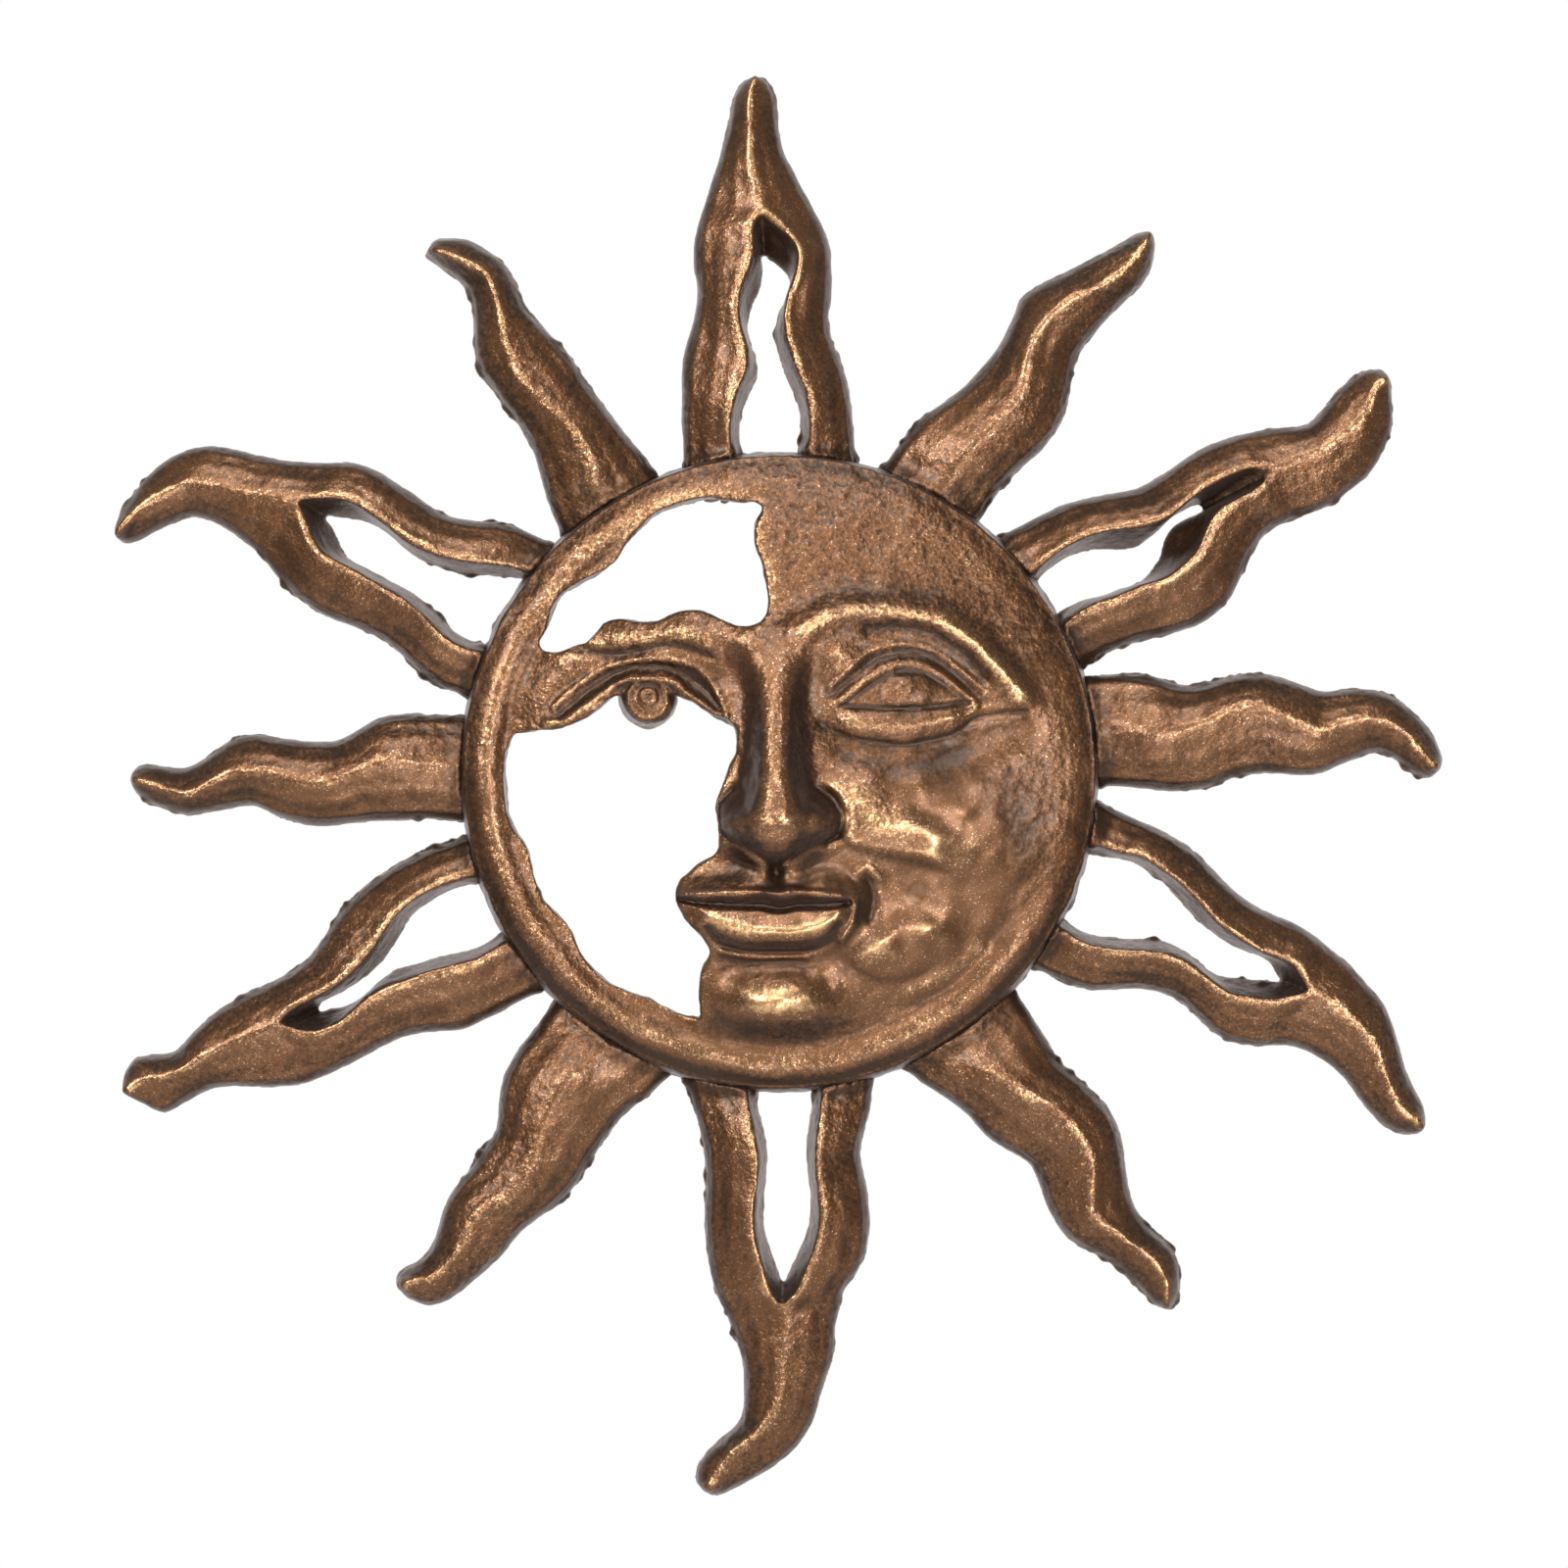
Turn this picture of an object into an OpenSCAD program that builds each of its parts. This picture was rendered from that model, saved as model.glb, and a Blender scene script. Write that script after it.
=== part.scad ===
/* [Disc] */
// Radius of the disc
disc_r = 90; // [85:1:95]
// Height of the rolled rim above the wall
rim_h = 13; // [12:0.5:15]
// Height of the face's dome above the wall
dome_h = 22; // [20:0.5:25]
// Thickness of the casting where it is hollow
shell_t = 6; // [5:0.5:7]

/* [Rays] */
// Gap between the disc's side and a ray's root
ray_gap = 0.5; // [0.4:0.1:1]
// Height of a ray's crest near the root
root_h = 12; // [11:0.5:13]
// How much lower the crest is where it meets the disc, as a share
root_dip = 0.28; // [0.2:0.02:0.3]
// Height of a ray's crest at the tip
tip_h = 7.5; // [6:0.5:9]
// How far a side wall flares out towards the wall
draft = 0.8; // [0:0.1:1]

/* [Fixings] */
// Width of a ray's tang
tang_w = 8; // [7:0.5:9]
// Thickness of a ray's tang
tang_t = 4; // [3.5:0.5:4.5]
// Radius of the circle that the tang screws lie on
screw_ring = 84.5; // [84:0.5:85]
// Radius of a tang screw's shank
screw_r = 1.5; // [1.3:0.1:1.6]
// Radius of the hanger's entry hole
hanger_r = 4.5; // [4:0.25:5]
// Thickness of the hanger plate
hanger_t = 1.6; // [1.2:0.2:2]

/* [Hidden] */
bronze = [0.36, 0.24, 0.14];
steel = [0.66, 0.66, 0.64];
// Centre of the hanger's entry hole, from the disc's centre
hanger_at = [8, 56];
// The two hanger screws lie this far above and below the entry hole
hanger_pitch = [-12, 14];
// Fit of a tang in its pocket
slide_fit = 0.15;
tang_root = disc_r - 10.4;
ray_steps = 2;

// ---- Curves ------------------------------------------------------------------
function cr(a, b, c, d, t) = 0.5 * (2 * b + (c - a) * t + (2 * a - 5 * b + 4 * c - d) * t * t
    + (3 * b - a - 3 * c + d) * t * t * t);
function knot(p, i) = p[max(0, min(len(p) - 1, i))];
function open_curve(p, n) = [
    for (i = [0 : len(p) - 2]) for (j = [0 : n - 1])
        cr(knot(p, i - 1), knot(p, i), knot(p, i + 1), knot(p, i + 2), j / n),
    p[len(p) - 1]];
function closed_curve(p, n) = let (k = len(p)) [
    for (i = [0 : k - 1]) for (j = [0 : n - 1])
        cr(p[(i + k - 1) % k], p[i], p[(i + 1) % k], p[(i + 2) % k], j / n)];
function lerp(a, b, t) = a + (b - a) * t;

// ---- Ray stations, millimetres -----------------------------------------------
// A ray lies along +u, with +v to its left. A bar station is
// [left u, left v, crest u, crest v, right u, right v].
// A leg station is [u, outer left v, slot left v, slot right v, outer right v].
// A fork has the slot's apex on the front and on the back between legs and bar.
bar_000 = [[90, 27, 91, 11, 90, -3.4], [99, 27.6, 100, 11.4, 99, -3.6], [107, 26.8, 108, 10.6, 108, -4.7],
    [115, 24.2, 115, 12, 116, -5], [122, 25, 122, 14.8, 123, -3.8], [129, 26.8, 130, 18.3, 130, -1],
    [137, 28, 137, 19.3, 138, 0.3], [145, 26.2, 146, 15, 145, -0.2], [154, 22.7, 153.5, 12, 152, -0.8],
    [161, 23.2, 160, 14, 160, 2.3], [168, 23.5, 167, 15.2, 168, 6], [175, 21.3, 173, 14.2, 173, 5.8],
    [181, 17, 178.5, 11, 177, 3.5], [186.5, 10.5, 182.5, 6, 181, 0], [189.3, 3.5, 187, 1.5, 184.5, -1.5]];
bar_060 = [[90, 17.5, 91, 0, 90, -13], [99, 16.4, 100, -0.6, 100, -13.6], [107, 15.2, 108, -2, 107, -15],
    [114, 12.2, 115, -3.4, 114, -17.3], [122, 8.5, 122, -4.8, 122, -19.3], [131, 6.5, 129, -5.5, 130, -19],
    [140, 6, 138, -2.2, 138, -16], [148, 6.9, 146, -1, 146, -13.8], [153.5, 6.7, 153, -2.3, 153, -14.7],
    [160, 2.8, 160, -6, 160, -16.2], [167, -1.7, 166, -10.8, 166, -17.8], [175, -6.7, 174, -14, 172, -19.8],
    [182, -10.5, 181, -14.8, 179, -19.7], [185.5, -13, 186, -14.8, 184.5, -17]];
bar_120 = [[90, 19.5, 91, 4.5, 90, -11.8], [102, 17.7, 101, 2.7, 101, -10.6],
    [113, 14.7, 112, 1.5, 113, -8.7],
    [122, 14.1, 122, 4.5, 124, -7.5], [131, 15.5, 133, 7.4, 133, -7.2], [142, 16.4, 143, 6.4, 141, -5.2],
    [150, 13.8, 151, 4, 150, -3.4], [157, 9.8, 158, 2, 157, -4.1], [164, 7.8, 164.5, 1.5, 164, -4.3],
    [170, 10, 170, 4.5, 170, -2], [175, 12, 175, 8.5, 176.5, 1.7], [177.5, 13.2, 178, 11, 180.4, 8.5]];
bar_180 = [[90.5, 13.8, 91, -2, 90.5, -15], [99, 13, 100, -2.5, 99, -16],
    [107, 13.4, 108, -3.4, 107, -16.2],
    [115, 13.7, 115, -2.6, 114, -15], [122, 14.2, 121, 0, 120, -11.8], [128, 14.7, 128, 2.4, 127, -8.3],
    [136, 14.5, 135, 2.6, 136, -8.6], [143, 12.6, 143, 0.4, 143, -9.4], [150, 9, 151, -0.5, 150, -10.4],
    [156, 9.7, 157, 0.3, 157, -8.4], [163, 11, 163, 3.6, 163, -4], [169, 12, 169, 6, 169.5, -0.5],
    [175, 10.3, 175, 4.8, 175.5, -1], [180, 8.3, 180, 3, 180.5, -2], [183, 6, 184, 2, 183.6, -1]];
bar_240 = [[90, 15.8, 91, -3.4, 91, -22.7], [98, 13.8, 99, -6, 98, -23.2],
    [106, 10.3, 107, -8.4, 106, -24.6],
    [114, 9.1, 115, -8.8, 114, -24.3], [122, 8.4, 122, -8.2, 121, -21.8], [130, 8.2, 129, -6, 129, -18.5],
    [137, 7, 137, -5.3, 136, -18.9], [144, 4, 143, -6.8, 143, -19.4], [151, 1.4, 150, -10.6, 150, -20.6],
    [158, 0, 158, -11.5, 157, -20], [165, -2, 165, -11.1, 165, -18], [172, -4.2, 171, -12.3, 171, -18.5],
    [177.5, -6.6, 175, -14.7, 174.5, -20.3], [181.8, -11, 177.5, -18.3, 177.5, -22.2],
    [182.8, -15.5, 180.4, -20, 179.5, -22]];
bar_300 = [[90, 26.3, 91, 7, 90, -11.5], [98, 27.4, 99, 8.7, 98, -8.2], [105, 27.4, 106, 11, 105, -4.6],
    [111, 27, 113, 14.3, 112, -1.6], [118, 29.7, 119, 18.5, 119, -0.2], [126, 32, 127, 21.3, 126, 2.8],
    [134, 32.9, 135, 22.2, 133, 6.5], [142, 30.8, 142, 20.9, 142, 5.3], [149, 28.2, 148, 17, 149, 4.5],
    [155, 26, 153.5, 14, 155, 5], [161, 25.5, 159, 16.3, 161, 7.5], [167, 26.7, 166, 19.7, 166, 10.8],
    [174, 28.9, 173, 22.5, 173, 14.2], [181, 27.3, 180, 23.1, 179, 15.7], [186, 24, 185, 20.8, 184.5, 16.6],
    [188, 20.8, 187.8, 19.5, 187, 18]];

legs_030 = [[88, 26.2, 12.8, -4, -15.9], [95, 25.7, 13.7, -3.3, -16.4], [102, 25.4, 14.3, -3.2, -17.4],
    [109, 24.7, 14, -4.7, -19], [116, 23.3, 12.2, -5.5, -21.2], [123, 20.6, 9.3, -6.9, -22.6],
    [130, 18.3, 7.2, -6.1, -22.3], [136, 18.4, 7.4, -4, -21], [142, 18.9, 8.6, 0.4, -17],
    [148, 19.1, 9, 2.6, -13], [154, 18.8, 8.6, 2.5, -10], [160, 17.8, 7.7, 2.3, -9.9]];
apex_030 = [[164.5, 4.6], [145.2, 2.7]];
head_030 = [[169, 15, 168, 3.6, 168, -11.3], [174, 12.8, 174.5, 2.9, 175, -12],
    [180, 10.3, 181, 2.7, 181, -11.2],
    [185, 11.4, 186, 2.8, 187, -10.3], [191, 13.8, 192, 3.6, 193, -7.6], [197, 15.2, 197.5, 6.4, 199, -3.6],
    [202, 15.7, 202, 10, 203, 1.5], [205, 14, 206, 10.5, 205.6, 6.5]];
legs_090 = [[88, 27.1, 13, -8, -21.7], [95, 27.1, 13.7, -8.4, -21.2], [102, 27.3, 13.5, -8.6, -20.5],
    [109, 27.3, 11.3, -7.2, -19.7], [116, 27, 8.8, -4.3, -17.7], [123, 25.6, 9.4, -2.2, -14.8],
    [130, 23.6, 11.3, -1.1, -13.9], [137, 23, 10.9, -2.5, -14.4], [144, 23.7, 8.2, -5, -14.5],
    [150, 23.9, 7, -4.8, -14], [156, 22.8, 7.4, 1, -12]];
apex_090 = [[159.5, 5.1], [149.5, 3.9]];
head_090 = [[166, 19.3, 163, 5.9, 165.6, -6.5], [172, 17.5, 171, 7.5, 172, -3.4],
    [179, 15.7, 180, 8, 177.5, -0.6],
    [187.5, 13.9, 188, 8.4, 186, 0.5], [193, 13, 194, 8.2, 192, 1.2], [196.5, 10.7, 198.2, 7, 195.6, 2.5]];
legs_150 = [[88, 24.5, 12.5, -13.6, -23.8], [95, 26.6, 13.9, -12.2, -23.2], [102, 26.4, 13.8, -9.3, -22.5],
    [109, 24.6, 11.8, -6.4, -19.4], [116, 23.6, 10.6, -4.5, -16.2], [123, 23.9, 10.4, -3.8, -15.2],
    [130, 25.1, 10.5, -4.4, -15.7], [137, 26, 10.7, -5.4, -16.3], [144, 25.2, 10.7, -5.5, -16.5],
    [150, 23.2, 7.2, -3.6, -15.2]];
apex_150 = [[157.5, 1.6], [149.3, 1.6]];
head_150 = [[162, 19.4, 163, 3.5, 160, -9.2], [168, 18.8, 170, 6.2, 167, -5.7],
    [175, 18.2, 176.5, 8.5, 175, -3],
    [181.5, 19.8, 183, 10.3, 182, -1.1], [185.5, 24, 188, 13.5, 189, 2.3], [189, 29.5, 191.5, 18.9, 195, 9],
    [192, 34.3, 195.6, 26.2, 198.8, 19.5], [195, 36.8, 197.5, 36, 199.7, 31]];
legs_210 = [[89.5, 19.8, 3, -17.5, -28.2], [96, 19.3, 3, -19.4, -30.2], [102, 19, 2.6, -20.2, -30.9],
    [109, 18.7, 0.6, -20, -31.3], [115, 17.9, -1.1, -18.8, -30.9], [121, 15, -2.1, -16, -30],
    [128, 12, -3.5, -13, -28], [135, 10.9, -2.9, -11, -24.3], [142, 10.5, -1.6, -10.2, -21],
    [148, 10.2, -1.8, -10.4, -20], [154, 10, -3.8, -10.7, -19.9]];
apex_210 = [[159.3, -9.7], [150.6, -5.2]];
head_210 = [[163, 8.6, 163, -10.2, 163, -20.6], [170, 5.4, 170, -11.1, 170, -20.9],
    [177, 1.2, 178, -11.8, 177, -20],
    [184, -3, 186, -11.5, 184, -18.5], [189, -3.5, 191, -12, 189.3, -16.5], [195, -3.6, 196, -13, 195, -19],
    [201, -3.8, 200.5, -15, 200, -21.1], [204, -8, 207, -14.3, 204, -19.5]];
legs_270 = [[88, 26.6, 12.4, -8.6, -26.5], [95, 25.7, 11.6, -8.4, -24], [102, 24, 10.8, -7, -22.2],
    [109, 22.6, 10.2, -5.8, -21], [116, 24, 10.5, -5.9, -20.4], [123, 24.9, 11.4, -6.7, -20.6],
    [130, 25.5, 11.2, -7, -20.6], [137, 24.2, 9.2, -5.6, -20], [143, 21.7, 6.7, -3.6, -19.1],
    [148, 18, 4.6, -2, -17.8]];
apex_270 = [[151.8, 0.8], [147.3, 0.8]];
head_270 = [[157, 15.8, 157, 1.6, 155, -14.6], [166, 15.3, 166, 0.4, 165, -10.8],
    [173, 13.2, 173.5, 0.2, 172, -9.6],
    [180, 10.8, 180, -0.8, 179, -9.7], [186, 8.6, 185.5, -3.8, 184, -10.2], [192, 5, 189, -7.5, 187.5, -13],
    [198, -2, 193, -12.5, 192, -18], [203, -10.5, 198, -16.5, 197, -22.3],
        [206.3, -17.5, 204, -20, 201, -23.6]];
legs_330 = [[88, 37.8, 26.6, 2, -11.5], [95, 38.8, 28.5, 1.6, -11.4], [101, 39.8, 30.4, 2, -10.9],
    [108, 39.7, 30.1, 4.5, -9.2], [115, 39, 29.4, 8, -4.9], [122, 37.2, 27.2, 10.9, -0.8],
    [129, 35.3, 25, 11.4, 1.2], [136, 34.5, 24.4, 10.4, 0], [143, 35, 24, 10.1, -1.6],
    [149, 35.8, 24.8, 12.2, -1.9], [155, 35.7, 25.5, 14.8, -0.2]];
apex_330 = [[162, 21.5], [154.3, 19.6]];
head_330 = [[165, 33.8, 166, 21.6, 164, 5], [171, 32.5, 172, 21.5, 171, 7], [177, 30.8, 178, 20, 177, 7],
    [183, 28.4, 184.5, 18, 183, 5.8], [190, 23, 190, 14, 190, 2.4], [196, 16.8, 195, 9.5, 195, 0.5],
    [202, 12, 201, 5.3, 201, -0.8], [207, 9, 206, 5, 206, 0], [209, 6.5, 209.5, 4, 208.5, 1.5]];

// ---- Ray construction --------------------------------------------------------
// A full station holds six [u, v] points: outer left, slot left on the front, slot left
// on the back, then the same three on the right. Along a bar both slots are the crest.
function on_root(p) = let (r = disc_r + ray_gap) [sqrt(r * r - p[1] * p[1]), p[1]];
function bar_station(s) = let (c = [s[2], s[3]]) [[s[0], s[1]], c, c, [s[4], s[5]], c, c];
// The slot narrows towards the back, and its back ends sooner than its front.
function back_edge(u, v, mid, apex) = let (
    reach = (apex[1][0] - disc_r) / (apex[0][0] - disc_r), half = abs(v - mid))
    [disc_r + (u - disc_r) * reach, mid + sign(v - mid) * max(0.3 * half, half - 2.6)];
function leg_station(s, apex) = let (mid = (s[2] + s[3]) / 2) [
    [s[0], s[1]], [s[0], s[2]], back_edge(s[0], s[2], mid, apex),
    [s[0], s[4]], [s[0], s[3]], back_edge(s[0], s[3], mid, apex)];
function apex_station(leg, bar, apex) = [
    ([leg[0], leg[1]] + [bar[0], bar[1]]) / 2, apex[0], apex[1],
    ([leg[0], leg[4]] + [bar[4], bar[5]]) / 2, apex[0], apex[1]];
function rooted(stations) = [for (i = [0 : len(stations) - 1])
    i > 0 ? stations[i] : [for (p = stations[0]) on_root(p)]];
function closed_slot(s) = let (c = (s[1] + s[4]) / 2, b = (s[2] + s[5]) / 2) [s[0], c, b, s[3], c, b];

// One half of a cross section, from the outer edge on the wall over the top to the slot.
// Each shoulder is [share of the way to the slot, share of the crest's height].
shoulders = [[0, 0.3], [0.12, 0.54], [0.5, 0.81], [0.84, 0.96]];
function half_ring(outer, slot, back, h, slot_share) = let (way = slot - outer,
    dir = way / norm(way)) concat(
    [[outer[0] - dir[0] * draft, outer[1] - dir[1] * draft, 0]],
    [for (s = shoulders) [outer[0] + way[0] * s[0], outer[1] + way[1] * s[0], h * s[1]]],
    [[slot[0], slot[1], h * slot_share], [back[0], back[1], 0]]);

// A smaller ring a little further on than the last station; two of them round off the tip
function tip_ring(s, before, share, ahead) = let (
        mid = (s[0] + s[3]) / 2, way = mid - (before[0] + before[3]) / 2)
    [for (p = s) mid + (p - mid) * share + way / norm(way) * norm(s[0] - s[3]) * ahead];
function crest_h(ring, share) = lerp(root_h, tip_h, pow(share, 1.5))
    * (1 - root_dip * bell((ring[0][0] - disc_r) / 11));

// legs is the number of rings before the slot's apex, and 0 on a plain ray.
module ray_loft(stations, legs) {
    end = stations[len(stations) - 1];
    before = stations[len(stations) - 2];
    rings = concat(stations, [tip_ring(end, before, 0.8, 0.12), tip_ring(end, before, 0.42, 0.21)]);
    last = len(rings) - 1;
    k = len(shoulders) + 3;
    points = [for (i = [0 : last]) let (s = i < legs ? rings[i] : closed_slot(rings[i]),
            h = crest_h(rings[i], i / last) * (i == last ? 0.66 : i == last - 1 ? 0.9 : 1),
            top = i < legs ? 0.97 : 1,
            left = half_ring(s[0], s[1], s[2], h, top), right = half_ring(s[3], s[4], s[5], h, top))
        each concat(left, right)];
    // side 0 is the left half and side 1 is the right half
    function id(i, side, j) = i * 2 * k + side * k + j % k;
    function tri(side, a, b, c) = side == 0 ? [a, b, c] : [c, b, a];
    faces = [for (side = [0, 1]) each concat(
        [for (i = [0 : last - 1]) for (j = [0 : k - 1]) if (j != k - 2 || i < legs)
            each [tri(side, id(i, side, j), id(i + 1, side, j), id(i, side, j + 1)),
                tri(side, id(i + 1, side, j), id(i + 1, side, j + 1), id(i, side, j + 1))]],
        [for (j = [1 : k - 2]) tri(side, id(0, side, 0), id(0, side, j), id(0, side, j + 1))],
        [for (j = [1 : k - 2]) tri(side, id(last, side, 0), id(last, side, j + 1), id(last, side, j))])];
    polyhedron(points, faces);
}

// Angle about the disc's centre of the middle of a root that spans v from a to b
function root_angle(a, b) = asin((a + b) / 2 / disc_r);
module tang(angle)
    rotate([0, 0, angle]) translate([tang_root, -tang_w / 2, slide_fit])
        cube([disc_r + ray_gap + 2 - tang_root, tang_w, tang_t - slide_fit]);
module screw_hole(angle) {
    rotate([0, 0, angle]) translate([screw_ring, 0, 0]) {
        translate([0, 0, -1]) cylinder(r = screw_r + 0.1, h = tang_t + 2, $fn = 24);
        translate([0, 0, -0.01]) cylinder(r1 = 2 * screw_r + 0.1, r2 = screw_r + 0.1,
            h = screw_r + 0.01, $fn = 24);
    }
}
module ray_body(rings, legs, angles) {
    difference() {
        union() {
            ray_loft(rings, legs);
            for (a = angles) tang(a);
        }
        for (a = angles) screw_hole(a);
    }
}
module plain_ray(bar)
    ray_body(open_curve(rooted([for (s = bar) bar_station(s)]), ray_steps), 0, bar_angles(bar));
module forked_ray(legs, apex, head)
    ray_body(open_curve(rooted(concat([for (s = legs) leg_station(s, apex)],
            [apex_station(legs[len(legs) - 1], head[0], apex)],
            [for (s = head) bar_station(s)])), ray_steps),
        ray_steps * len(legs), leg_angles(legs));
function bar_angles(bar) = [root_angle(bar[0][1], bar[0][5])];
function leg_angles(legs) = [root_angle(legs[0][1], legs[0][2]), root_angle(legs[0][3], legs[0][4])];
fixing_angles = concat(
    [for (r = [[0, bar_000], [60, bar_060], [120, bar_120], [180, bar_180], [240, bar_240], [300, bar_300]])
        r[0] + bar_angles(r[1])[0]],
    [for (r = [[30, legs_030], [90, legs_090], [150, legs_150], [210, legs_210], [270, legs_270],
        [330, legs_330]]) each [r[0] + leg_angles(r[1])[0], r[0] + leg_angles(r[1])[1]]]);

// ---- Face --------------------------------------------------------------------
// Everything here is [x, y] from the disc's centre as seen from the front.
forehead_opening = [[-5.1, 76], [-10.9, 77.1], [-20.8, 77.8], [-29.4, 76], [-35.8, 72.8], [-42.3, 66.7],
    [-45.1, 61.7], [-49.4, 57.4], [-56.6, 53.9], [-61.6, 50.4], [-64.4, 46], [-65.8, 41], [-68, 36.7],
    [-66, 34.4], [-62.2, 34.2], [-58.8, 35.3], [-53.8, 37.5], [-50.1, 42.1], [-44.5, 43.5], [-36.5, 42.4],
    [-31.6, 44.2], [-23.8, 46], [-18.8, 44.6], [-13.7, 42.1], [-7.3, 41.4], [-3.7, 44.6], [-3.4, 51],
    [-4.5, 57.4], [-7.3, 64.7], [-6.6, 70.3], [-5.1, 73.2]];
cheek_opening = [[-74.5, 10.9], [-68.6, 11.8], [-62.2, 12], [-56.6, 14.6], [-50.8, 18.2], [-46, 21.5],
    [-37, 23.5], [-28, 21.5], [-20.8, 17.4], [-14.4, 14.6], [-11.9, 11], [-12.3, 5.3], [-14.4, 0.3],
    [-16.5, -4.7], [-17.6, -11.2], [-16.9, -18.5], [-17.4, -22], [-21.6, -25.6], [-25.8, -28.5],
        [-29.1, -32.8],
    [-29.1, -37], [-26.6, -41.3], [-23, -45.6], [-19.8, -49.6], [-20.2, -52.6], [-22.3, -57], [-22.7, -62],
    [-21.9, -69.2], [-23.8, -69.9], [-28.7, -68.5], [-35.1, -65.2], [-42.3, -62.4], [-48, -59.9],
        [-53, -55.6],
    [-56.6, -50.6], [-58.8, -46.3], [-60.5, -42.8], [-64.4, -39.2], [-67.3, -36.3], [-69, -31.3],
    [-70.1, -26.3], [-72, -20.6], [-74.8, -17.1], [-76.6, -13.4], [-77.3, -8.4], [-78.1, -0.6],
        [-77.3, 5.3],
    [-75.9, 9.6]];
eyeball_at = [-37.2, 20.7];
eyeball_r = 8.4;

// Broad ridges and hollows: [height, half width, path]
lines = [
    [2.4, 5, [[7, 42], [18, 45.7], [33, 45.7], [46, 43], [55, 37], [64, 27], [71, 20]]],      // right brow
    [1.8, 5, [[-71, 21], [-64, 30], [-50, 37], [-37, 37], [-23, 39], [-10, 37]]],             // left brow
    [-1.2, 3.6, [[12, 12], [21, 8.5], [33, 7], [48, 9.5], [57, 14], [69, 16]]],               // under the eye
    [3.6, 3.6, [[-26, -34.5], [-12, -33.4], [0, -33.6], [12, -33.6], [19, -35.5]]],           // upper lip
    [4.4, 4.4, [[-20, -41.5], [-10, -45], [0, -46], [10, -45], [16, -42]]]];                  // lower lip
// Mounds and hollows: [height, x, y, half width, half height]
mounds = [
    // eye sockets, eye
    [-4, 37, 22, 25, 13], [3.8, 36, 22, 14, 8], [-2.5, -33, 26, 22, 9], [1.6, 17, 32, 7, 8],
    [2.6, 36, -15, 22, 12], [-1.2, 33, -36, 14, 8], [2, 38, -46, 16, 8],                      // cheek
    [3.2, -2, -38, 25, 15], [6.5, 0, -66, 15, 8.5], [-2.2, 0, -54, 16, 4],                      // mouth, chin
    // lip notch, nostrils
    [-1.2, -0.8, -28, 3, 3],   [4.6, -13, -14, 5, 5.5], [4.6, 11.8, -14, 5, 5.5]];
nose_height = [[-31, 0], [-26, 3], [-23, 8], [-19, 12], [-13.5, 13.5], [-8, 12.5], [0, 10.5], [10, 8.5],
    [20, 6.5], [30, 4.5], [44, 0]];
nose_width = [[-26, 8], [-20, 11], [-13.5, 11.5], [-8, 9], [0, 7.2], [10, 6.4], [20, 6.4], [30, 8],
    [44, 13]];

function bell(t) = exp(-t * t);
function to_segment(p, a, b) = let (ab = b - a, t = max(0, min(1,
    (p - a) * ab / (ab * ab)))) norm(p - a - ab * t);
function to_path(p, path) = min([for (i = [1 : len(path) - 1]) to_segment(p, path[i - 1], path[i])]);
function sum(list) = len(list) == 0 ? 0 : list * [for (i = list) 1];
function ramp(t) = let (c = max(0, min(1, t))) c * c * (3 - 2 * c);
// 1 where the rim stands free of the face, at the left and the bottom, and 0 where they merge
function free_rim(p) = let (a = atan2(p[1], p[0])) a > 0 ? ramp((a - 95) / 20) : ramp((-15 - a) / 30);
function dome(p) = let (r = norm(p), reach = lerp(92, 79, free_rim(p)))
    r < reach ? 9.5 + (dome_h - 9.5) * pow(1 - r * r / reach / reach, 0.7) : 0;
// The rim's outer side is steeper at the top than at the bottom, where it slopes.
rim_r = 84.5;
function rim(p) = let (r = norm(p), edge_h = lerp(9.5, 6.5, ramp(-1.4 * p[1] / disc_r)))
    r < rim_r - 6 ? 0 : r < rim_r ? 9.3 + (rim_h - 9.3) * sqrt(1 - pow((r - rim_r) / 6, 2))
    : rim_h - (rim_h - edge_h) * pow((r - rim_r) / (disc_r - rim_r), 1.6);
function edge_round(r) = r > 86 ? 2.2 * pow((r - 86) / 4, 2.5) : 0;
function inside(r) = r < 72 ? 1 : max(0, (79 - r) / 7);
function relief(p) = let (r = norm(p)) max(dome(p) - edge_round(r), rim(p)) + inside(r) * (
    sum([for (l = lines) l[0] * bell(to_path(p, l[2]) / l[1])])
    + sum([for (m = mounds) m[0] * bell(norm([(p[0] - m[1]) / m[3], (p[1] - m[2]) / m[4]]))])
    + lookup(p[1], nose_height) * exp(-pow(abs(p[0] + 1) / lookup(p[1], nose_width), 3.2)));

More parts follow.
